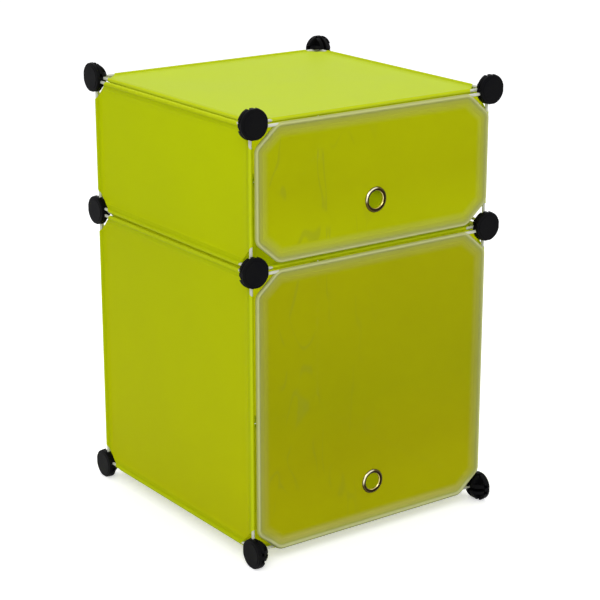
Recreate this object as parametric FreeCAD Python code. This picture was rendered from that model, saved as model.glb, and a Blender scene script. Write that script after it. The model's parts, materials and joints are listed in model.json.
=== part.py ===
import FreeCAD, Part

import math
import os

from FreeCAD import Vector

# Storage cube of two cells, one above the other: sheets hemmed round wire frames, clipped together
# by round corner connectors, with two frosted doors that swing up on their top rods.
# All lengths are in millimetres. +X is to the right seen from the front, +Y to the back, +Z up.
# The origin is at floor level under the middle of the cube.

# Grid planes that the panels lie in
width = 370.0
depth = 370.0
lower_height = 370.0
upper_height = 182.0

# Frame wire
wire_radius = 2.0
wire_inset = 4.5          # from a frame's wire to the next grid plane
wire_bend = 5.0           # centre-line radius at a frame's corners

# Hemmed sheet
sheet_thickness = 0.8
sleeve_play = 0.15        # between the wire and the sleeve round it
sleeve_wall = 0.6
hem_width = 9.5           # from the wire to the welded seam
hem_thickness = 1.6       # the doubled band beside the seam
sheet_corner = 33.0       # how far each corner is cut back along the grid planes

# Corner connector
disc_radius = 19.4
disc_thickness = 4.4
disc_rim = 1.5            # rounding of the front edge
disc_back_rim = 0.6       # rounding of the back edge
face_radius = 15.7        # raised middle of the front face
face_height = 0.6
face_edge = 0.4
foot_flat = 0.4           # depth of the four flats on the rim
groove_play = 0.2         # beside a wire in the grooves behind the disc
block_radius = 19.8       # outer round of the corner blocks between the grooves
jaw_play = 0.15           # beside a wire between the jaws
jaw_wall = 4.6
jaw_dome = 18.0           # the jaws end on a dome of this radius
jaw_centre = 2.0          # and this far in front of the grid plane

# Doors
door_forward = 1.5        # from the front grid plane to the doors' wires
door_side_gap = 4.8       # from the side grid planes to the doors' side wires
door_corner_width = 31.2
door_corner_height = 27.0
door_bend = 12.0
upper_door_lift = 9.0     # bottom wire above the shelf's plane
lower_door_drop = 1.0     # bottom wire below the floor panel's plane
rod_end_gap = 9.0         # from the side grid planes to the rods' ends
rod_end_play = 0.6
rod_play = 0.08           # in the connectors' sockets
rod_room = 0.25           # in the sheet's sleeve, where the rod and the hoop are welded
socket_wall = 1.5         # closes the inner end of a rod's socket
socket_reach = 18.0

# Finger holes
eyelet_height = 54.5      # above the door's bottom wire
eyelet_radius = 16.5
eyelet_bore = 11.0
eyelet_wall = 0.7
eyelet_crown = 1.9
eyelet_play = 0.15
eyelet_lip = 1.3
eyelet_lip_height = 0.7
washer_radius = 16.0
washer_thickness = 0.8

# Worked out from the sizes above
groove_half = wire_radius + groove_play
block_start = wire_inset + groove_half
rib_half = wire_inset - groove_half
jaw_half = wire_radius + jaw_play
channel_radius = wire_radius + sleeve_play
sleeve_radius = channel_radius + sleeve_wall
foot_height = disc_radius - foot_flat
bottom_level = foot_height
shelf_level = bottom_level + lower_height
top_level = shelf_level + upper_height
side = width / 2
front = -depth / 2
back = depth / 2
door_y = front - door_forward
door_side = side - door_side_gap
rod_half = side - rod_end_gap

axis_x = Vector(1, 0, 0)
axis_y = Vector(0, 1, 0)
axis_z = Vector(0, 0, 1)


# Turns a shape's own axes a and b to the given directions and moves its origin.
def place(shape, origin, a, b):
    c = a.cross(b)
    moved = shape.copy()
    moved.Placement = FreeCAD.Placement(FreeCAD.Matrix(
        a.x, b.x, c.x, origin.x,
        a.y, b.y, c.y, origin.y,
        a.z, b.z, c.z, origin.z,
        0, 0, 0, 1))
    return moved


def fuse(shapes):
    return shapes[0].fuse(shapes[1:]).removeSplitter()


def solid_of(shape):
    return shape.Solids[0] if len(shape.Solids) == 1 else shape


def box(low, high):
    size = high.sub(low)
    return Part.makeBox(size.x, size.y, size.z, low)


# A flat plate of the given outline, with its middle in the plane z = 0.
def plate(points, thickness):
    outline = Part.makePolygon(points + points[:1])
    face = Part.Face(outline)
    return face.extrude(Vector(0, 0, thickness)).translated(Vector(0, 0, -thickness / 2))


# The path of a bent wire: straight runs joined by tangent arcs.
def wire_path(points, bend, closed):
    count = len(points)
    corners = range(count) if closed else range(1, count - 1)
    leaving = dict(enumerate(points))
    arriving = dict(enumerate(points))
    arcs = {}
    for i in corners:
        corner = points[i]
        back_way = points[i - 1].sub(corner).normalize()
        on_way = points[(i + 1) % count].sub(corner).normalize()
        half_turn = (math.pi - back_way.getAngle(on_way)) / 2
        trim = bend * math.tan(half_turn)
        inward = back_way.add(on_way).normalize()
        arriving[i] = corner + back_way * trim
        leaving[i] = corner + on_way * trim
        middle = corner + inward * (bend / math.cos(half_turn) - bend)
        arcs[i] = Part.Arc(arriving[i], middle, leaving[i]).toShape()
    edges = []
    last = count if closed else count - 1
    for i in range(last):
        after = (i + 1) % count
        edges.append(Part.makeLine(leaving[i], arriving[after]))
        if after in arcs:
            edges.append(arcs[after])
    return Part.Wire(edges)


# A round bar along a path.
def bar(path, radius):
    start = path.Edges[0]
    tangent = start.tangentAt(start.FirstParameter)
    ring = Part.Wire(Part.makeCircle(radius, start.Vertexes[0].Point, tangent))
    return path.makePipeShell([ring], True, True)


# Fixed panels are made flat about their own middle. Their wires run half_a and half_b from it.
def panel_corners(half_a, half_b):
    return [Vector(-half_a, -half_b, 0), Vector(half_a, -half_b, 0),
            Vector(half_a, half_b, 0), Vector(-half_a, half_b, 0)]


def cut_corner_outline(half_a, half_b, cut):
    outline = []
    for sa, sb in ((-1, -1), (1, -1), (1, 1), (-1, 1)):
        along_a = Vector(sa * (half_a - cut), sb * half_b, 0)
        along_b = Vector(sa * half_a, sb * (half_b - cut), 0)
        outline += [along_b, along_a] if sa == sb else [along_a, along_b]
    return outline


def panel_frame(half_a, half_b):
    return bar(wire_path(panel_corners(half_a, half_b), wire_bend, True), wire_radius)


def panel_sheet(half_a, half_b):
    path = wire_path(panel_corners(half_a, half_b), wire_bend, True)
    field = plate(panel_corners(half_a, half_b), sheet_thickness)
    band = plate(panel_corners(half_a, half_b), hem_thickness)
    inside = plate(panel_corners(half_a - hem_width, half_b - hem_width), 2 * hem_thickness)
    whole = fuse([field, band.cut(inside), bar(path, sleeve_radius)])
    grid_a = half_a + wire_inset
    grid_b = half_b + wire_inset
    trimmed = whole.common(plate(cut_corner_outline(grid_a, grid_b, sheet_corner), 4 * sleeve_radius))
    return trimmed.cut(bar(path, channel_radius))


# Doors are made flat too, a to the right and b up, with the rod's axis at b = 0 and the front
# towards +c.
def door_outline(height):
    top_a = door_side - door_corner_width
    low = -height
    return [Vector(top_a, 0, 0), Vector(door_side, -door_corner_height, 0),
            Vector(door_side, low + door_corner_height, 0), Vector(top_a, low, 0),
            Vector(-top_a, low, 0), Vector(-door_side, low + door_corner_height, 0),
            Vector(-door_side, -door_corner_height, 0), Vector(-top_a, 0, 0)]


def door_rod(radius):
    return Part.makeCylinder(radius, 2 * rod_half, Vector(-rod_half, 0, 0), axis_x)


def door_hoop(height, radius):
    return bar(wire_path(door_outline(height), door_bend, False), radius)


def door_frame(height):
    outline = door_outline(height)
    welds = [Part.makeSphere(wire_radius, outline[0]), Part.makeSphere(wire_radius, outline[-1])]
    return fuse([door_rod(wire_radius), door_hoop(height, wire_radius)] + welds)


def eyelet_middle(height):
    return Vector(0, eyelet_height - height, 0)


def eyelet_hole():
    return eyelet_bore + eyelet_wall + eyelet_play


def door_sheet(height):
    outline = door_outline(height)
    edge = Part.makePolygon(outline + outline[:1])
    seam = Part.Face(edge.makeOffset2D(-hem_width, 2))
    inside = seam.extrude(Vector(0, 0, 2 * hem_thickness)).translated(Vector(0, 0, -hem_thickness))
    band = plate(outline, hem_thickness).cut(inside)
    sleeve = bar(wire_path(outline, door_bend, True), sleeve_radius)
    whole = fuse([plate(outline, sheet_thickness), band, sleeve])
    hole = Part.makeCylinder(eyelet_hole(), 2 * hem_thickness,
                             eyelet_middle(height) - Vector(0, 0, hem_thickness), axis_z)
    return whole.cut([hole, door_rod(wire_radius + rod_room), door_hoop(height, channel_radius)])


# Round pieces are turned from half sections whose x is the radius.
def turned(edges):
    return Part.Face(Part.Wire(edges)).revolve(Vector(0, 0, 0), axis_z, 360)


def eyelet():
    face = sheet_thickness / 2
    rear = -face - washer_thickness
    crown = face + eyelet_crown
    middle = (eyelet_bore + eyelet_radius) / 2
    barrel = eyelet_bore + eyelet_wall
    lip = barrel + eyelet_lip
    lip_rear = rear - eyelet_lip_height
    points = [Vector(eyelet_bore, 0, face), Vector(middle, 0, crown), Vector(eyelet_radius, 0, face),
              Vector(barrel, 0, face), Vector(barrel, 0, rear), Vector(lip, 0, rear),
              Vector((eyelet_bore + lip) / 2, 0, lip_rear), Vector(eyelet_bore, 0, rear)]
    return turned([
        Part.Arc(points[0], points[1], points[2]).toShape(),
        Part.makeLine(points[2], points[3]),
        Part.makeLine(points[3], points[4]),
        Part.makeLine(points[4], points[5]),
        Part.Arc(points[5], points[6], points[7]).toShape(),
        Part.makeLine(points[7], points[0])])


def eyelet_washer():
    rear = -sheet_thickness / 2 - washer_thickness
    ring = Part.makeCylinder(washer_radius, washer_thickness, Vector(0, 0, rear), axis_z)
    return ring.cut(Part.makeCylinder(eyelet_hole(), washer_thickness, Vector(0, 0, rear), axis_z))


# Connectors are made with their disc facing +c. Grooves behind the disc take the wires of panels
# that lie in the connector's own plane, and the jaws behind them grip panels square to it.
def connector_disc():
    disc = Part.makeCylinder(disc_radius, disc_thickness, Vector(0, 0, groove_half), axis_z)
    square = box(Vector(-foot_height, -foot_height, 0),
                 Vector(foot_height, foot_height, 2 * (groove_half + disc_thickness)))
    disc = disc.common(square)
    front_edges = [e for e in disc.Edges if e.BoundBox.ZMin > groove_half + disc_thickness / 2]
    disc = disc.makeFillet(disc_rim, front_edges)
    back_edges = [e for e in disc.Edges if e.BoundBox.ZMax < groove_half + disc_thickness / 2
                  and e.BoundBox.ZLength < disc_thickness / 4]
    disc = disc.makeFillet(disc_back_rim, back_edges)
    face = Part.makeCone(face_radius, face_radius - face_edge, face_height,
                         Vector(0, 0, groove_half + disc_thickness), axis_z)
    return disc, face


def corner_block():
    square = box(Vector(block_start, block_start, -groove_half),
                 Vector(block_radius, block_radius, groove_half))
    block = square.common(Part.makeCylinder(block_radius, 2 * groove_half,
                                            Vector(0, 0, -groove_half), axis_z))
    bend_inside = wire_bend - groove_half
    corner = [e for e in block.Edges
              if e.BoundBox.XMax < block_start + 0.01 and e.BoundBox.YMax < block_start + 0.01]
    return block.makeFillet(bend_inside, corner)


def jaw_pair():
    outer = jaw_half + jaw_wall
    deep = jaw_dome - jaw_centre
    arm_a = box(Vector(jaw_half, jaw_half, -deep), Vector(jaw_dome, outer, -groove_half))
    arm_b = box(Vector(jaw_half, jaw_half, -deep), Vector(outer, jaw_dome, -groove_half))
    dome = Part.makeSphere(jaw_dome, Vector(0, 0, jaw_centre))
    return fuse([arm_a, arm_b]).common(dome)


def quarter_turns(shape):
    return [shape.rotated(Vector(0, 0, 0), axis_z, 90 * i) for i in range(4)]


# hinge_side is +1 or -1 where a door's rod enters from that side, and 0 elsewhere.
def connector(hinge_side):
    disc, face = connector_disc()
    rib_a = box(Vector(-foot_height, -rib_half, -groove_half),
                Vector(foot_height, rib_half, groove_half + disc_rim))
    rib_b = rib_a.rotated(Vector(0, 0, 0), axis_z, 90)
    ribs = fuse([rib_a, rib_b]).common(Part.makeCylinder(foot_height, 2 * disc_radius,
                                                         Vector(0, 0, -disc_radius), axis_z))
    body = fuse([disc, face, ribs] + quarter_turns(corner_block()) + quarter_turns(jaw_pair()))
    if hinge_side == 0:
        return body
    blind_end = rod_end_gap - rod_end_play
    socket = box(Vector(blind_end - socket_wall, -block_start, -groove_half),
                 Vector(socket_reach, -rib_half, groove_half))
    bore = Part.makeCylinder(wire_radius + rod_play, disc_radius,
                             Vector(blind_end, -wire_inset, door_forward), axis_x)
    if hinge_side < 0:
        socket = socket.mirror(Vector(0, 0, 0), axis_x)
        bore = bore.mirror(Vector(0, 0, 0), axis_x)
    return fuse([body, socket]).cut(bore)


def make_connectors():
    facing = {"front": -axis_y, "back": axis_y, "left": -axis_x, "right": axis_x}
    levels = {"bottom": bottom_level, "middle": shelf_level, "top": top_level}
    faces = {
        ("bottom", "front", "left"): "left", ("bottom", "front", "right"): "right",
        ("bottom", "back", "left"): "left", ("bottom", "back", "right"): "back",
        ("middle", "front", "left"): "front", ("middle", "front", "right"): "front",
        ("middle", "back", "left"): "left", ("middle", "back", "right"): "back",
        ("top", "front", "left"): "front", ("top", "front", "right"): "front",
        ("top", "back", "left"): "left", ("top", "back", "right"): "back",
    }
    moulded = {hinge_side: connector(hinge_side) for hinge_side in (-1, 0, 1)}
    pieces = {}
    for (level, end, hand), face in faces.items():
        hinge_side = 0
        if face == "front":
            hinge_side = 1 if hand == "left" else -1
        origin = Vector(-side if hand == "left" else side, front if end == "front" else back,
                        levels[level])
        normal = facing[face]
        name = "connector_%s_%s_%s" % (level, end, hand)
        pieces[name] = place(moulded[hinge_side], origin, axis_z.cross(normal), axis_z)
    return pieces


def make_panels():
    half_x = side - wire_inset
    half_y = back - wire_inset
    lower_half = lower_height / 2 - wire_inset
    upper_half = upper_height / 2 - wire_inset
    lower_middle = (bottom_level + shelf_level) / 2
    upper_middle = (shelf_level + top_level) / 2
    layout = {
        "floor_panel": (half_x, half_y, Vector(0, 0, bottom_level), axis_x, axis_y),
        "shelf_panel": (half_x, half_y, Vector(0, 0, shelf_level), axis_x, axis_y),
        "top_panel": (half_x, half_y, Vector(0, 0, top_level), axis_x, axis_y),
        "lower_left_panel": (half_y, lower_half, Vector(-side, 0, lower_middle), axis_y, axis_z),
        "lower_right_panel": (half_y, lower_half, Vector(side, 0, lower_middle), axis_y, axis_z),
        "lower_back_panel": (half_x, lower_half, Vector(0, back, lower_middle), axis_x, axis_z),
        "upper_left_panel": (half_y, upper_half, Vector(-side, 0, upper_middle), axis_y, axis_z),
        "upper_right_panel": (half_y, upper_half, Vector(side, 0, upper_middle), axis_y, axis_z),
        "upper_back_panel": (half_x, upper_half, Vector(0, back, upper_middle), axis_x, axis_z),
    }
    sizes = {(half_a, half_b) for half_a, half_b, middle, a, b in layout.values()}
    frames = {size: panel_frame(*size) for size in sizes}
    sheets = {size: panel_sheet(*size) for size in sizes}
    pieces = {}
    for name, (half_a, half_b, middle, a, b) in layout.items():
        pieces[name + "_frame"] = place(frames[half_a, half_b], middle, a, b)
        pieces[name + "_sheet"] = place(sheets[half_a, half_b], middle, a, b)
    return pieces


def make_doors():
    doors = {
        "upper_door": (top_level - wire_inset, shelf_level + upper_door_lift),
        "lower_door": (shelf_level - wire_inset, bottom_level - lower_door_drop),
    }
    pieces = {}
    for name, (rod_level, low_level) in doors.items():
        height = rod_level - low_level
        hung = Vector(0, door_y, rod_level)
        hole = hung + axis_z * eyelet_middle(height).y
        pieces[name + "_frame"] = place(door_frame(height), hung, axis_x, axis_z)
        pieces[name + "_sheet"] = place(door_sheet(height), hung, axis_x, axis_z)
        pieces[name + "_eyelet"] = place(eyelet(), hole, axis_x, axis_z)
        pieces[name + "_eyelet_washer"] = place(eyelet_washer(), hole, axis_x, axis_z)
    return pieces


def main():
    os.makedirs("parts", exist_ok=True)
    pieces = {}
    pieces.update(make_connectors())
    pieces.update(make_panels())
    pieces.update(make_doors())
    for name, shape in pieces.items():
        shape = solid_of(shape)
        shape.exportStep("parts/%s.step" % name)
        print("%-32s solids %d valid %s volume %.1f" % (
            name, len(shape.Solids), shape.isValid(), shape.Volume))


main()
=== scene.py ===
import json
import math

import bpy
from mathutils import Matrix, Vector


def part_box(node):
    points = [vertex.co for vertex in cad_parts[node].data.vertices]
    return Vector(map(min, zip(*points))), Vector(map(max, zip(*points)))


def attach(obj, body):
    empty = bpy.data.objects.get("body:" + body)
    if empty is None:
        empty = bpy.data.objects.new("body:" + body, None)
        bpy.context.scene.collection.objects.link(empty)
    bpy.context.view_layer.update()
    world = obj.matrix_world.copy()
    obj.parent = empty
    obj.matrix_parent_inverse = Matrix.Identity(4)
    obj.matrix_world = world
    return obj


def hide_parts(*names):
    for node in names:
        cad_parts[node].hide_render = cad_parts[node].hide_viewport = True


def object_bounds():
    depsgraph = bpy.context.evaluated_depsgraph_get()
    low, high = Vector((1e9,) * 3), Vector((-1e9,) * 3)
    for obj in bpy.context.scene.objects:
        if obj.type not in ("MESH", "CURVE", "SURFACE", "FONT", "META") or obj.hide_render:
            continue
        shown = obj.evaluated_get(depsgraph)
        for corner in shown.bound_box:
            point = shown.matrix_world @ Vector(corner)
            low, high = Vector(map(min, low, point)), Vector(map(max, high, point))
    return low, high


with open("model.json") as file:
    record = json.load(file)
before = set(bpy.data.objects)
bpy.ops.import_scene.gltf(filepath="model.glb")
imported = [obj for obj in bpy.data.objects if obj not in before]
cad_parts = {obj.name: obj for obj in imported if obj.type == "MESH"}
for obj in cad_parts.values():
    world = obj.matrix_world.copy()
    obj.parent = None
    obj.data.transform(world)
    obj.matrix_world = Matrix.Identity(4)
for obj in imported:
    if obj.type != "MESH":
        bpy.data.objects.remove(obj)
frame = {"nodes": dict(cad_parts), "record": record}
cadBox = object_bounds()

# Camera, floor and light

cameraSettings = {
    "azimuth": -35.8156,       # degrees, to the left of straight in front
    "elevation": 17.4098,
    "distance": 2.53187,
    "target": (0.01812, 0.0, 0.27004),
    "lens": 111.589,
    "sensor": 36.0,
    "clipEnd": 60.0,
}

studioSettings = {
    "floorSize": 24.0,
    "floorColor": (0.86, 0.86, 0.86, 1.0),
    "floorGlow": 0.45,         # what camera rays get on top of the lit floor
    "worldColor": (0.97, 0.98, 1.0, 1.0),
    "worldStrength": 0.70,
    "softboxes": {             # size, power and place of each
        "keyLight": (1.6, 38.0, (-1.9, -2.1, 2.3)),
        "fillLight": (2.2, 12.0, (2.4, -1.6, 1.7)),
        "topLight": (1.8, 26.0, (0.3, 0.9, 2.9)),
    },
    "softboxAim": (0.0, 0.0, 0.3),
}


# Links another node's output, or sets a constant
def setInput(tree, socket, value):
    if isinstance(value, bpy.types.NodeSocket):
        tree.links.new(value, socket)
    else:
        socket.default_value = value


def addNode(tree, kind, place=(0, 0), **values):
    node = tree.nodes.new(kind)
    node.location = place
    for key, value in values.items():
        if hasattr(node, key):
            setattr(node, key, value)
        else:
            setInput(tree, node.inputs[key.replace("_", " ")], value)
    return node


def mathOf(tree, operation, first, second, place):
    node = addNode(tree, "ShaderNodeMath", place, operation=operation)
    setInput(tree, node.inputs[0], first)
    setInput(tree, node.inputs[1], second)
    return node.outputs[0]


def mixShaders(tree, share, first, second, place):
    mix = addNode(tree, "ShaderNodeMixShader", place)
    for socket, value in zip(mix.inputs, (share, first, second)):
        setInput(tree, socket, value)
    return mix.outputs[0]


def startMaterial(name):
    paint = bpy.data.materials.new(name)
    paint.use_nodes = True
    paint.node_tree.nodes.clear()
    return paint, paint.node_tree


def makeCamera():
    a = math.radians(cameraSettings["azimuth"])
    e = math.radians(cameraSettings["elevation"])
    back = Vector((math.sin(a) * math.cos(e), -math.cos(a) * math.cos(e), math.sin(e)))
    target = Vector(cameraSettings["target"])
    bpy.ops.object.camera_add(location=target + back * cameraSettings["distance"])
    camera = bpy.context.object
    camera.name = "photoCamera"
    camera.rotation_euler = back.to_track_quat("Z", "Y").to_euler()
    camera.data.lens = cameraSettings["lens"]
    camera.data.sensor_width = cameraSettings["sensor"]
    camera.data.clip_end = cameraSettings["clipEnd"]
    bpy.context.scene.camera = camera


def addSoftbox(name, size, power, place):
    bpy.ops.object.light_add(type="AREA", location=place)
    lamp = bpy.context.object
    lamp.name = name
    lamp.data.shape = "SQUARE"
    lamp.data.size = size
    lamp.data.energy = power
    aim = Vector(studioSettings["softboxAim"]) - Vector(place)
    lamp.rotation_euler = aim.to_track_quat("-Z", "Y").to_euler()


# One where a camera, glossy or transmission ray looks
def seenByRays(tree):
    rays = addNode(tree, "ShaderNodeLightPath", (-900, 0)).outputs
    direct = mathOf(tree, "MAXIMUM", rays["Is Camera Ray"], rays["Is Glossy Ray"], (-700, 0))
    return mathOf(tree, "MAXIMUM", direct, rays["Is Transmission Ray"], (-500, 0))


def makeWorld():
    world = bpy.data.worlds.new("studioWorld")
    bpy.context.scene.world = world
    world.use_nodes = True
    tree = world.node_tree
    tree.nodes.clear()
    soft = addNode(tree, "ShaderNodeBackground", (-200, 0), Color=studioSettings["worldColor"],
                   Strength=studioSettings["worldStrength"])
    white = addNode(tree, "ShaderNodeBackground", (-200, -200), Color=(1, 1, 1, 1), Strength=1.0)
    sky = mixShaders(tree, seenByRays(tree), soft.outputs[0], white.outputs[0], (0, 0))
    addNode(tree, "ShaderNodeOutputWorld", (200, 0), Surface=sky)


def makeFloor():
    bpy.ops.mesh.primitive_plane_add(size=studioSettings["floorSize"])
    floor = bpy.context.object
    floor.name = "studioFloor"
    paint, tree = startMaterial("paleFloor")
    lit = addNode(tree, "ShaderNodeBsdfDiffuse", (-200, 200), Color=studioSettings["floorColor"])
    level = mathOf(tree, "MULTIPLY", seenByRays(tree), studioSettings["floorGlow"], (-400, 0))
    glow = addNode(tree, "ShaderNodeEmission", (-200, 0), Color=(1, 1, 1, 1), Strength=level)
    both = addNode(tree, "ShaderNodeAddShader")
    tree.links.new(lit.outputs[0], both.inputs[0])
    tree.links.new(glow.outputs[0], both.inputs[1])
    addNode(tree, "ShaderNodeOutputMaterial", (200, 0), Surface=both.outputs[0])
    floor.data.materials.append(paint)


def makeStudio():
    makeWorld()
    makeFloor()
    for name, (size, power, place) in studioSettings["softboxes"].items():
        addSoftbox(name, size, power, place)
    bpy.context.scene.view_settings.view_transform = "Standard"


makeCamera()
makeStudio()
print("camera and studio ready")

# Materials. The sheets' colours run in from their edge: distances are in metres from the fold.

greenPlastic = {
    # brighter towards the fold is painted light on the hem, and the dip at 5.4 mm is painted shade just
    # inside the sleeve
    "edgeColors": (
        (0.0000, (0.60, 0.70, 0.020)),
        (0.0015, (0.56, 0.66, 0.010)),
        (0.0035, (0.52, 0.62, 0.004)),
        (0.0054, (0.475, 0.565, 0.001)),
        (0.0072, (0.50, 0.59, 0.001)),
        (0.0102, (0.49, 0.58, 0.001)),
        (0.0112, (0.515, 0.605, 0.001)),
        (0.0200, (0.51, 0.60, 0.001)),
    ),
    "paintedShadeByHeight": (                 # painted shade: yellower and darker towards the floor
        (0.000, (1.0, 0.87, 1.0)),
        (0.571, (1.0, 1.0, 1.0)),
    ),
    "paintedTopLight": (0.57, 0.70, 0.046),  # painted sheen of the top sheet, lighter and bluer for the light from above
    "cloudScale": 7.0,
    "cloudDepth": 0.05,
    "roughness": 0.42,
    "specular": 0.02,
    "tint": (0.9, 1.0, 0.05, 1.0),
    "through": (0.80, 0.84, 0.002, 1.0),
    "glow": 0.30,              # share of light let through and scattered
    "clear": 0.0,
    "grainScale": 2600.0,
    "grainHeight": 0.00003,
}

frostedPlastic = {
    # the pale line on the bead is partly the wire seen through the film and partly a painted highlight, and
    # the darker lines on either side of it are painted shade
    "edgeColors": (
        (0.0000, (0.40, 0.41, 0.17)),
        (0.0009, (0.50, 0.51, 0.24)),
        (0.0016, (0.64, 0.65, 0.35)),
        (0.0024, (0.64, 0.65, 0.34)),
        (0.0032, (0.48, 0.48, 0.22)),
        (0.0046, (0.43, 0.44, 0.145)),
        (0.0060, (0.46, 0.475, 0.105)),
        (0.0075, (0.49, 0.505, 0.085)),
        (0.0100, (0.505, 0.52, 0.066)),
        (0.0108, (0.48, 0.495, 0.055)),
        (0.0120, (0.51, 0.525, 0.052)),
        (0.0150, (0.51, 0.53, 0.036)),
        (0.0176, (0.50, 0.53, 0.012)),
        (0.0200, (0.50, 0.53, 0.002)),
    ),
    "lowEdgeColors": (               # the same along the lower door's bottom edge, with painted shade under the bead and a painted highlight on its front
        (0.0000, (0.16, 0.16, 0.12)),
        (0.0014, (0.22, 0.22, 0.16)),
        (0.0022, (0.55, 0.57, 0.32)),
        (0.0032, (0.66, 0.68, 0.38)),
        (0.0044, (0.64, 0.66, 0.34)),
        (0.0054, (0.48, 0.505, 0.16)),
        (0.0066, (0.50, 0.53, 0.12)),
        (0.0085, (0.58, 0.58, 0.13)),
        (0.0120, (0.57, 0.57, 0.11)),
        (0.0150, (0.53, 0.55, 0.060)),
        (0.0176, (0.50, 0.53, 0.015)),
        (0.0200, (0.50, 0.53, 0.002)),
    ),
    "lowEdgeHeights": (0.040, 0.028),  # they take over between these
    "paintedShadeByHeight": (                 # painted shade by height: each door is lighter near its lower edge and darker above it
        (0.018, (0.93, 0.83, 1.0)),
        (0.060, (0.88, 0.76, 1.0)),
        (0.120, (0.76, 0.64, 1.0)),
        (0.200, (0.71, 0.635, 1.0)),
        (0.360, (0.81, 0.72, 1.0)),
        (0.385, (0.83, 0.78, 1.0)),
        (0.397, (1.00, 1.00, 1.0)),
        (0.430, (0.97, 0.95, 1.0)),
        (0.480, (0.88, 0.83, 1.0)),
        (0.570, (0.88, 0.85, 1.0)),
    ),
    "paintedTopLight": (0.44, 0.45, 0.002),
    "cloudScale": 6.0,
    "cloudDepth": 0.07,
    "roughness": 0.46,
    "specular": 0.05,
    "tint": (0.9, 1.0, 0.10, 1.0),
    "through": (0.70, 0.76, 0.02, 1.0),
    "glow": 0.36,
    "clear": 0.012,            # share seen straight through
    "grainScale": 1900.0,
    "grainHeight": 0.00004,
    "printColor": (0.26, 0.27, 0.03),
    "printStrength": 0.36,         # the faint sprays of twigs on the doors
    "printScale": 15.0,
    "printTurn": 0.6,
    "printStretch": (1.8, 1.0, 0.6),
    "printDistortion": 0.5,
    "printPatchScale": 21.0,
    "printWidth": (0.030, 0.008),  # these fade in from the first value to the second
    "printPatches": (0.46, 0.56),
    "printSide": (0.03, -0.09),    # of x
    "printField": (0.85, 1.0),     # of the way in from the edge
}

blackPlastic = {
    "color": (0.003, 0.003, 0.004),
    "colorWorn": (0.005, 0.005, 0.005),
    "cloudScale": 30.0,
    "roughness": 0.45,
    "specular": 0.03,
    "grainScale": 1400.0,
    "grainHeight": 0.00005,
}

wireCoat = {
    "color": (0.61, 0.62, 0.52),
    "colorWorn": (0.50, 0.51, 0.42),
    "cloudScale": 30.0,
    "roughness": 0.32,
    "specular": 0.5,
    "grainScale": 900.0,
    "grainHeight": 0.00002,
}

washerBrass = {
    "color": (0.42, 0.30, 0.13),
    "colorWorn": (0.26, 0.17, 0.07),
    "cloudScale": 30.0,
    "roughness": 0.24,
    "specular": 0.5,
    "grainScale": 700.0,
    "grainHeight": 0.00001,
}

eyeletBrass = {
    "cloudScale": 60.0,
    "roughness": 0.24,
    "specular": 0.5,
    "grainScale": 700.0,
    "grainHeight": 0.00001,
    "lip": (0.72, 0.62, 0.24, 1.0),        # painted reflection, bright on the rolled inner lip
    "patina": (0.018, 0.011, 0.003, 1.0),  # dark, between the lip and the rim
    "rim": (0.075, 0.055, 0.014, 1.0),
    "paintedGlint": (0.95, 0.88, 0.60, 1.0),     # painted highlight on the upper left of the rim
    "hollowSpan": (0.0114, 0.0119),        # distances from the middle of the hole
    "rimSpan": (0.0142, 0.0148),
    "paintedGlintReach": (0.0163, 0.0155),        # outside it the rim stays dark
    "glintSpan": (0.0115, 0.0200),         # of the painted highlight: how far up and to the left of the middle
}

sharedFinish = {
    "cloudDetail": 4.0,
    "cloudRoughness": 0.55,
    "cloudSpan": (0.3, 0.7),
    "wornStops": (0.32, 0.68),    # of the clouds: worn below the first, as new above the second
    "grainDetail": 2.0,
    "grainStrength": 0.6,
    "roughnessSpread": 0.05,      # either way
}

sheetShading = {
    "rampLength": 0.02,           # of the edge colours
    "tintSpan": (0.15, 0.75),     # of that length, where the painted shade by height fades in
    "topDepths": (0.006, 0.004),  # below the top frame's highest point, where the painted top light comes in
}
rampLength = sheetShading["rampLength"]


# Goes from one end to the other while the value goes from the span's first number to its second
def rangeOf(tree, value, span, place, kind="SMOOTHSTEP", ends=(0.0, 1.0)):
    fade = addNode(tree, "ShaderNodeMapRange", place, interpolation_type=kind, Value=value,
                   From_Min=span[0], From_Max=span[1], To_Min=ends[0], To_Max=ends[1])
    return fade.outputs["Result"]


def spreadBy(tree, clouds, ends, place):
    return rangeOf(tree, clouds, sharedFinish["cloudSpan"], place, "LINEAR", ends)


# Each colour is either a constant or another node's output
def mixOf(tree, share, first, second, place, kind="MIX"):
    mix = addNode(tree, "ShaderNodeMixRGB", place, blend_type=kind, Fac=share, Color1=first, Color2=second)
    return mix.outputs["Color"]


def rampOf(tree, share, colours, length, place):
    ramp = addNode(tree, "ShaderNodeValToRGB", place, Fac=share)
    stops = ramp.color_ramp.elements
    while len(stops) < len(colours):
        stops.new(0.5)
    for stop, (distance, colour) in zip(stops, colours):
        stop.position = distance / length
        stop.color = colour + (1.0,)
    return ramp.outputs["Color"]


# Soft clouds on the object's own coordinates, and a fine grain for the bump
def cloudsAndGrain(tree, settings):
    coords = addNode(tree, "ShaderNodeTexCoord", (-1100, 0)).outputs["Object"]
    clouds = addNode(tree, "ShaderNodeTexNoise", (-850, 200), Vector=coords, Scale=settings["cloudScale"],
                     Detail=sharedFinish["cloudDetail"], Roughness=sharedFinish["cloudRoughness"])
    grain = addNode(tree, "ShaderNodeTexNoise", (-850, -250), Vector=coords, Scale=settings["grainScale"],
                    Detail=sharedFinish["grainDetail"])
    bump = addNode(tree, "ShaderNodeBump", (-600, -250), Height=grain.outputs["Fac"],
                   Strength=sharedFinish["grainStrength"], Distance=settings["grainHeight"])
    return clouds.outputs["Fac"], bump.outputs["Normal"]


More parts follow.
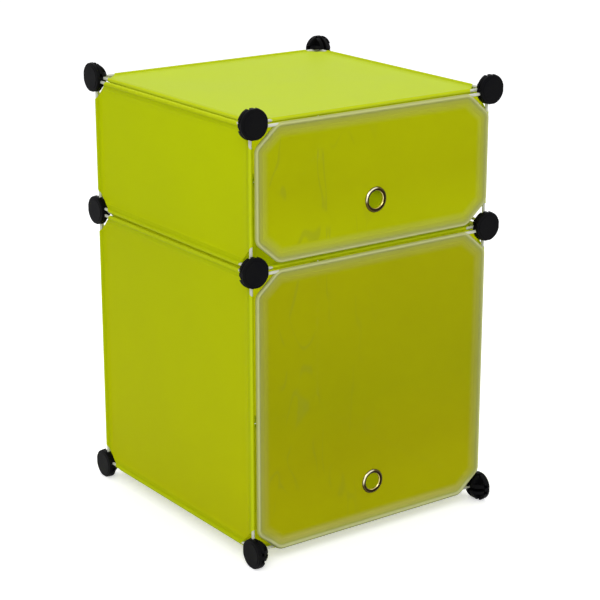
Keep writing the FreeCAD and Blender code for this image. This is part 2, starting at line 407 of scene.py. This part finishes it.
def shaderWith(tree, settings, colour, clouds, bump, metallic=0.0):
    middle = settings["roughness"]
    either = sharedFinish["roughnessSpread"]
    rough = spreadBy(tree, clouds, (middle - either, middle + either), (-400, -60))
    shader = addNode(tree, "ShaderNodeBsdfPrincipled", (0, 0), Base_Color=colour, Metallic=metallic,
                     Roughness=rough, Normal=bump, Specular_IOR_Level=settings["specular"])
    if "tint" in settings:
        shader.inputs["Specular Tint"].default_value = settings["tint"]
    return shader.outputs[0]


def mouldedMaterial(name, settings, metallic=0.0):
    paint, tree = startMaterial(name)
    clouds, bump = cloudsAndGrain(tree, settings)
    stops = tuple(zip(sharedFinish["wornStops"], (settings["colorWorn"], settings["color"])))
    colour = rampOf(tree, clouds, stops, 1.0, (-620, 200))
    shader = shaderWith(tree, settings, colour, clouds, bump, metallic)
    addNode(tree, "ShaderNodeOutputMaterial", (600, 0), Surface=shader)
    return paint


# Antique brass, dark between the inner lip and the rim, with a painted reflection on the inner lip and a
# painted highlight on the upper left of the rim
def eyeletMaterial(name, settings, middle):
    paint, tree = startMaterial(name)
    clouds, bump = cloudsAndGrain(tree, settings)
    coords = addNode(tree, "ShaderNodeTexCoord", (-1700, 600)).outputs["Object"]
    centred = addNode(tree, "ShaderNodeMapping", (-1500, 600), Vector=coords, Location=-middle)
    x, y, z = addNode(tree, "ShaderNodeSeparateXYZ", (-1300, 600), Vector=centred.outputs[0]).outputs
    flat = addNode(tree, "ShaderNodeCombineXYZ", (-1100, 700), X=x, Z=z).outputs[0]
    reach = addNode(tree, "ShaderNodeVectorMath", (-900, 700), operation="LENGTH", Vector=flat)
    reach = reach.outputs["Value"]
    # painted highlight on the upper left of the rim
    slant = mathOf(tree, "SUBTRACT", z, x, (-1100, 400))
    glint = rangeOf(tree, slant, settings["glintSpan"], (-900, 400))
    within = rangeOf(tree, reach, settings["paintedGlintReach"], (-900, 200))
    paintedGlint = mathOf(tree, "MULTIPLY", glint, within, (-800, 300))
    rim = mixOf(tree, paintedGlint, settings["rim"], settings["paintedGlint"], (-700, 400))
    hollow = rangeOf(tree, reach, settings["hollowSpan"], (-700, 800))
    inner = mixOf(tree, hollow, settings["lip"], settings["patina"], (-500, 700))
    edge = rangeOf(tree, reach, settings["rimSpan"], (-500, 900))
    whole = mixOf(tree, edge, inner, rim, (-300, 500))
    shader = shaderWith(tree, settings, whole, clouds, bump, 1.0)
    addNode(tree, "ShaderNodeOutputMaterial", (600, 0), Surface=shader)
    return paint


# Colours by the distance from the fold: the hems' own colours, with painted highlights and painted shade
# along them. The lower door's bottom edge has stops of its own.
def edgeColour(tree, settings, inward, z):
    colour = rampOf(tree, inward, settings["edgeColors"], rampLength, (-850, 500))
    if "lowEdgeColors" in settings:
        low = rampOf(tree, inward, settings["lowEdgeColors"], rampLength, (-850, 300))
        below = rangeOf(tree, z, settings["lowEdgeHeights"], (-850, 100))
        colour = mixOf(tree, below, colour, low, (-700, 400))
    return colour


# Away from the edge comes painted shade by height, and on the topmost sheet a painted sheen of its own for
# the light from above
def fieldColour(tree, settings, inward, z, under):
    height = cadBox[1][2]
    rise = rangeOf(tree, z, (0.0, height), (-1000, 800), "LINEAR")
    # painted shade by height
    tint = rampOf(tree, rise, settings["paintedShadeByHeight"], height, (-800, 800))
    inner = rangeOf(tree, inward, sheetShading["tintSpan"], (-850, 1000), "LINEAR")
    heightShaded = mixOf(tree, inner, under, tint, (-620, 600), "MULTIPLY")
    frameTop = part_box("top_panel_frame")[1][2]
    topSpan = [frameTop - depth for depth in sheetShading["topDepths"]]
    lift = rangeOf(tree, z, topSpan, (-1000, 1000), "LINEAR")
    upper = mathOf(tree, "MULTIPLY", lift, inner, (-700, 1000))
    return mixOf(tree, upper, heightShaded, settings["paintedTopLight"] + (1.0,), (-500, 800))


# Thin bent twigs: where a distorted noise crosses its middle, in patches on the left of a door
def addPrint(tree, settings, coords, x, inward, under):
    drawn = addNode(tree, "ShaderNodeMapping", (-1300, 1400), Vector=coords,
                    Rotation=(0.0, settings["printTurn"], 0.0), Scale=settings["printStretch"])
    twigs = addNode(tree, "ShaderNodeTexNoise", (-1100, 1400), Vector=drawn.outputs[0], Detail=1.0,
                    Scale=settings["printScale"], Distortion=settings["printDistortion"])
    away = mathOf(tree, "SUBTRACT", twigs.outputs["Fac"], 0.5, (-900, 1400))
    width = mathOf(tree, "ABSOLUTE", away, 0.0, (-750, 1400))
    line = rangeOf(tree, width, settings["printWidth"], (-600, 1400))
    patches = addNode(tree, "ShaderNodeTexNoise", (-1100, 1700), Vector=coords, Detail=0.0,
                      Scale=settings["printPatchScale"])
    patch = rangeOf(tree, patches.outputs["Fac"], settings["printPatches"], (-900, 1700))
    side = rangeOf(tree, x, settings["printSide"], (-900, 1900))
    field = rangeOf(tree, inward, settings["printField"], (-900, 2100))
    strokes = mathOf(tree, "MULTIPLY", line, patch, (-400, 1500))
    place = mathOf(tree, "MULTIPLY", side, field, (-400, 1900))
    ink = mathOf(tree, "MULTIPLY", strokes, place, (-300, 1500))
    share = mathOf(tree, "MULTIPLY", ink, settings["printStrength"], (-200, 1500))
    return mixOf(tree, share, under, settings["printColor"] + (1.0,), (-100, 1200))


# Sheet plastic scatters light where it goes in, and lets it straight out.
def sheetMaterial(name, settings):
    paint, tree = startMaterial(name)
    clouds, bump = cloudsAndGrain(tree, settings)
    inward = addNode(tree, "ShaderNodeAttribute", (-1100, 500), attribute_name="fromEdge").outputs["Fac"]
    coords = addNode(tree, "ShaderNodeTexCoord", (-1400, 800)).outputs["Object"]
    x, y, z = addNode(tree, "ShaderNodeSeparateXYZ", (-1200, 800), Vector=coords).outputs
    colour = edgeColour(tree, settings, inward, z)
    colour = fieldColour(tree, settings, inward, z, colour)
    if "printColor" in settings:
        colour = addPrint(tree, settings, coords, x, inward, colour)
    dim = spreadBy(tree, clouds, (1.0 - settings["cloudDepth"], 1.0), (-620, 250))
    shade = addNode(tree, "ShaderNodeVectorMath", (-420, 400), operation="SCALE", Vector=colour, Scale=dim)
    shader = shaderWith(tree, settings, shade.outputs["Vector"], clouds, bump)
    glow = addNode(tree, "ShaderNodeBsdfTranslucent", (0, -300), Color=settings["through"]).outputs[0]
    milky = mixShaders(tree, settings["glow"], shader, glow, (250, -100))
    clear = addNode(tree, "ShaderNodeBsdfTransparent", (0, -450), Color=(1, 1, 1, 1)).outputs[0]
    film = mixShaders(tree, settings["clear"], milky, clear, (450, -100))
    backs = addNode(tree, "ShaderNodeNewGeometry", (250, 200)).outputs["Backfacing"]
    oneWay = mixShaders(tree, backs, film, clear, (650, 0))
    addNode(tree, "ShaderNodeOutputMaterial", (850, 0), Surface=oneWay)
    return paint


finishes = {
    "green_sheet": sheetMaterial("limeSheet", greenPlastic),
    "frosted_sheet": sheetMaterial("frostedSheet", frostedPlastic),
    "connector_plastic": mouldedMaterial("blackMoulding", blackPlastic),
    "frame_wire": mouldedMaterial("coatedFrameWire", wireCoat),
    "door_wire": mouldedMaterial("coatedDoorWire", wireCoat),
    "eyelet_metal": mouldedMaterial("eyeletBrass", washerBrass, metallic=1.0),
}
print("materials ready")

# Hemmed sheets. They are made flat about the middle of their wires, with their outer face up.

hem = {
    "wireRadius": 0.002,
    "sleeveRadius": 0.00245,   # to the middle of the film
    "sleeveTurn": 140.0,       # how far the film goes round the wire, on each face
    "sleeveSteps": 8,
    "filmThickness": 0.0006,
    "bandRise": 0.0004,        # the two films lie this far from the sheet's middle
    "bandLead": 0.0009,        # just before the band the films are still a little apart
    "bandSwell": 1.4,
    "bandStart": 0.0064,       # inset from the fold, as all starts and ends
    "seamStart": 0.0102,
    "seamWidth": 0.0010,
    "seamSlope": 0.0004,
    "seamSink": 0.00014,       # depth of the weld line
    "flapEnd": 0.0126,         # of the film that is folded over to the inside
    "fieldStart": 0.0134,
    "shadeEnd": 0.0200,
    "cellSize": 0.045,         # of the net that the field is divided into
    "smoothAngle": 35.0,
    "cutTolerance": 0.000001,
    "mergeDistance": 0.00002,
    "margin": 0.0001,          # so that the rim of the open field is selected with it
}

cornerSigns = ((-1, -1), (1, -1), (1, 1), (-1, 1))

fixedPanels = {
    "gridGap": 0.0045,         # from the wire to the next grid plane
    "cornerCut": 0.033,        # along both grid planes
}


# Places across the hem: inset from the fold, and height above the middle
def hemProfile():
    radius = hem["sleeveRadius"]
    rings = []
    for step in range(1, hem["sleeveSteps"] + 1):
        turn = math.radians(hem["sleeveTurn"]) * step / hem["sleeveSteps"]
        rings.append((radius - radius * math.cos(turn), radius * math.sin(turn)))
    rise = hem["bandRise"]
    seam = hem["seamStart"]
    rings.append((hem["bandStart"] - hem["bandLead"], rise * hem["bandSwell"]))
    rings.append((hem["bandStart"], rise))
    rings.append((seam, rise))
    rings.append((seam + hem["seamSlope"], rise - hem["seamSink"]))
    rings.append((seam + hem["seamSlope"] + hem["seamWidth"], rise - hem["seamSink"]))
    rings.append((seam + 2 * hem["seamSlope"] + hem["seamWidth"], rise))
    rings.append((hem["fieldStart"], 0.0))
    rings.append((hem["shadeEnd"], 0.0))
    return rings


def startEditing(piece):
    bpy.ops.object.select_all(action="DESELECT")
    piece.select_set(True)
    bpy.context.view_layer.objects.active = piece
    bpy.ops.object.mode_set(mode="EDIT")
    bpy.ops.mesh.select_all(action="SELECT")


def selectWhere(piece, kind, wanted):
    bpy.ops.mesh.select_mode(type=kind)
    bpy.ops.mesh.select_all(action="DESELECT")
    bpy.ops.object.mode_set(mode="OBJECT")
    data = piece.data
    for part in {"VERT": data.vertices, "EDGE": data.edges, "FACE": data.polygons}[kind]:
        part.select = wanted(part)
    bpy.ops.object.mode_set(mode="EDIT")


def cutAway(point, normal):
    bpy.ops.mesh.select_all(action="SELECT")
    bpy.ops.mesh.bisect(plane_co=point, plane_no=normal, clear_outer=True,
                        threshold=hem["cutTolerance"])


# Remembers how far the selected points are from the fold, for the edge's colours
def markDistance(distance):
    bpy.context.scene.tool_settings.vertex_group_weight = min(distance / rampLength, 1.0)
    bpy.ops.object.vertex_group_assign()


# Draws each rounded corner of the inner face together, before the insets reach the middle of its bend
def closeCorners(piece):
    bpy.ops.object.mode_set(mode="OBJECT")
    inner = max(piece.data.polygons, key=lambda face: face.area)
    area = inner.area
    rim = set(inner.vertices)
    bpy.ops.object.mode_set(mode="EDIT")

    def inBend(edge):
        start, end = (piece.data.vertices[i].co for i in edge.vertices)
        return rim.issuperset(edge.vertices) and (start - end).length < doorShape["cornerBend"]

    selectWhere(piece, "EDGE", inBend)
    bpy.ops.mesh.merge(type="COLLAPSE")
    selectWhere(piece, "FACE", lambda face: face.area > doorShape["innerShare"] * area)


# Fills the open field round a hole
def fillRound(piece, halfA, halfB, holeMiddle):
    bpy.ops.mesh.delete(type="ONLY_FACE")
    bpy.ops.mesh.primitive_circle_add(vertices=doorShape["holeSteps"], radius=doorShape["holeRadius"],
                                      location=holeMiddle)
    markDistance(hem["shadeEnd"])
    reachA = halfA - hem["shadeEnd"] + hem["margin"]
    reachB = halfB - hem["shadeEnd"] + hem["margin"]
    selectWhere(piece, "VERT", lambda point: abs(point.co.x) < reachA and abs(point.co.y) < reachB)
    bpy.ops.mesh.fill(use_beauty=True)
    selectWhere(piece, "FACE", lambda face: face.normal.z < 0)
    bpy.ops.mesh.flip_normals()


# From a flat outline at the fold to the outer film, with a net in its field
def hemOutline(piece, halfA, halfB, holeMiddle=None):
    piece.vertex_groups.new(name="fold")
    markDistance(0.0)
    before = (0.0, 0.0)
    for inset, height in hemProfile():
        bpy.ops.mesh.inset(thickness=inset - before[0], depth=height - before[1])
        if holeMiddle and before[0] < hem["seamStart"] + hem["seamWidth"] < inset:
            closeCorners(piece)
        markDistance(inset)
        before = (inset, height)
    if holeMiddle:
        fillRound(piece, halfA, halfB, holeMiddle)
    for half, axis in ((halfA, 0), (halfB, 1)):
        cells = max(2, round(2 * half / hem["cellSize"]))
        for i in range(1, cells):
            point = [0.0, 0.0, 0.0]
            point[axis] = -half + 2 * half * i / cells
            normal = [0.0, 0.0, 0.0]
            normal[axis] = 1.0
            bpy.ops.mesh.select_all(action="SELECT")
            bpy.ops.mesh.bisect(plane_co=point, plane_no=normal, threshold=hem["cutTolerance"])


def addFlap(piece, isFlap):
    selectWhere(piece, "FACE", isFlap)
    bpy.ops.mesh.duplicate()
    bpy.ops.transform.resize(value=(1, 1, -1), center_override=(0, 0, 0))
    bpy.ops.mesh.flip_normals()
    bpy.ops.mesh.select_all(action="SELECT")
    bpy.ops.mesh.remove_doubles(threshold=hem["mergeDistance"])


def thicken(piece):
    bpy.ops.object.mode_set(mode="OBJECT")
    wall = piece.modifiers.new("film", "SOLIDIFY")
    wall.thickness = hem["filmThickness"]
    wall.offset = 0.0
    wall.use_even_offset = True
    wall.use_quality_normals = True
    bpy.ops.object.modifier_apply(modifier=wall.name)


# Keeps the distances as an attribute that the material reads; points inside the field have none yet
def keepDistances(piece):
    distances = piece.data.attributes.new("fromEdge", "FLOAT", "POINT")
    for point in piece.data.vertices:
        distances.data[point.index].value = point.groups[0].weight if point.groups else 1.0
    bpy.ops.object.shade_smooth_by_angle(angle=math.radians(hem["smoothAngle"]))


def startSheet(foldA, foldB):
    bpy.ops.object.select_all(action="DESELECT")
    bpy.ops.mesh.primitive_plane_add(size=2.0)
    piece = bpy.context.object
    startEditing(piece)
    bpy.ops.transform.resize(value=(foldA, foldB, 1))
    return piece


def makeFixedSheet(halfA, halfB):
    foldA = halfA + hem["sleeveRadius"]
    foldB = halfB + hem["sleeveRadius"]
    piece = startSheet(foldA, foldB)
    hemOutline(piece, foldA, foldB)

    def onFlap(face):
        across = min(foldA - abs(face.center.x), foldB - abs(face.center.y))
        return across < hem["flapEnd"]

    addFlap(piece, onFlap)
    cornerA = halfA + fixedPanels["gridGap"]
    cornerB = halfB + fixedPanels["gridGap"]
    for signA, signB in cornerSigns:
        point = (signA * (cornerA - fixedPanels["cornerCut"]), signB * cornerB, 0)
        cutAway(point, (signA, signB, 0))
    thicken(piece)
    keepDistances(piece)
    return piece


# Each copy is turned so that its outer face looks away from the cube.
turns = {
    "top": (0, 0, 0),
    "floor": (180, 0, 0),
    "back": (-90, 0, 0),
    "front": (90, 0, 0),
    "left": (90, 0, -90),
    "right": (90, 0, 90),
}

sheetFacing = {
    "floor_panel": "floor", "shelf_panel": "top", "top_panel": "top",
    "lower_left_panel": "left", "lower_right_panel": "right", "lower_back_panel": "back",
    "upper_left_panel": "left", "upper_right_panel": "right", "upper_back_panel": "back",
}


def placeCopy(pattern, name, middle, facing):
    bpy.ops.object.select_all(action="DESELECT")
    piece = pattern.copy()
    piece.data = pattern.data.copy()
    piece.name = name
    piece.data.name = name
    bpy.context.collection.objects.link(piece)
    piece.location = middle
    piece.rotation_euler = [math.radians(turn) for turn in turns[facing]]
    piece.select_set(True)
    bpy.context.view_layer.objects.active = piece
    bpy.ops.object.transform_apply(location=True, rotation=True, scale=True)
    return piece


def middleOf(node):
    low, high = (Vector(corner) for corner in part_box(node))
    return (low + high) / 2, high - low


def makeFixedSheets():
    patterns = {}
    for panel, facing in sheetFacing.items():
        middle, size = middleOf(panel + "_frame")
        halves = sorted(size)[1:]
        halfA, halfB = (round(length / 2 - hem["wireRadius"], 5) for length in reversed(halves))
        key = (halfA, halfB)
        if key not in patterns:
            patterns[key] = makeFixedSheet(halfA, halfB)
        piece = placeCopy(patterns[key], panel + "Hemmed", middle, facing)
        piece.data.materials.append(finishes["green_sheet"])
        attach(piece, "root")
        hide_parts(panel + "_sheet")
    for pattern in patterns.values():
        bpy.data.objects.remove(pattern)


makeFixedSheets()
print("fixed sheets ready")

# Door sheets. The outline follows the hoop, whose cut corners end on the straight top rod.

doorShape = {
    "cornerWidth": 0.0312,
    "cornerHeight": 0.027,
    "cornerBend": 0.0060,      # along each side of a corner
    "cornerSteps": 6,
    "innerShare": 0.9,         # the inner face keeps more than this of its area
    "holeRadius": 0.01185,
    "holeSteps": 64,
}


# The line of each cut corner at the fold: its outward direction and a point on it
def cornerLines(halfA, halfB):
    width = doorShape["cornerWidth"]
    height = doorShape["cornerHeight"]
    slope = math.hypot(width, height)
    lines = []
    for signA, signB in cornerSigns:
        normal = Vector((signA * height, signB * width, 0)) / slope
        point = Vector((signA * (halfA - width), signB * halfB, 0)) + normal * hem["sleeveRadius"]
        lines.append((normal, point))
    return lines


def makeDoorSheet(door):
    frameLow, frameHigh = (Vector(corner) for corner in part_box(door + "_frame"))
    wire = hem["wireRadius"]
    halfA = frameHigh.x - wire
    top = frameHigh.z - wire
    low = frameLow.z + wire
    middle = Vector((0.0, (frameLow.y + frameHigh.y) / 2, (top + low) / 2))
    halfB = (top - low) / 2
    foldA = halfA + hem["sleeveRadius"]
    foldB = halfB + hem["sleeveRadius"]
    piece = startSheet(foldA, foldB)
    corners = cornerLines(halfA, halfB)
    for normal, point in corners:
        cutAway(point, normal)
    bpy.ops.mesh.select_all(action="SELECT")
    bpy.ops.mesh.bevel(affect="VERTICES", offset=doorShape["cornerBend"], segments=doorShape["cornerSteps"],
                       profile=0.5)
    eyelet = middleOf(door + "_eyelet")[0]
    hemOutline(piece, foldA, foldB, (eyelet.x - middle.x, eyelet.z - middle.z, 0))

    def onFlap(face):
        centre = Vector(face.center)
        across = min(foldA - abs(centre.x), foldB - abs(centre.y))
        for normal, point in corners:
            across = min(across, normal.dot(point - centre))
        return across < hem["flapEnd"]

    addFlap(piece, onFlap)
    thicken(piece)
    keepDistances(piece)
    placed = placeCopy(piece, door + "Hemmed", middle, "front")
    bpy.data.objects.remove(piece)
    placed.data.materials.append(finishes["frosted_sheet"])
    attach(placed, door)
    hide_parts(door + "_sheet")


doors = ("upper_door", "lower_door")
for door in doors:
    makeDoorSheet(door)
print("door sheets ready")

for subpart in frame["record"]["subparts"]:
    node = frame["nodes"][subpart["node"]]
    node.data.materials.clear()
    node.data.materials.append(finishes[subpart["material_slot"]])
# Each eyelet's brass is centred on its own hole
for door in doors:
    eyelet = frame["nodes"][door + "_eyelet"]
    middle = middleOf(door + "_eyelet")[0]
    eyelet.data.materials[0] = eyeletMaterial(door + "Brass", eyeletBrass, middle)
print("finishes on", len(frame["nodes"]), "nodes")
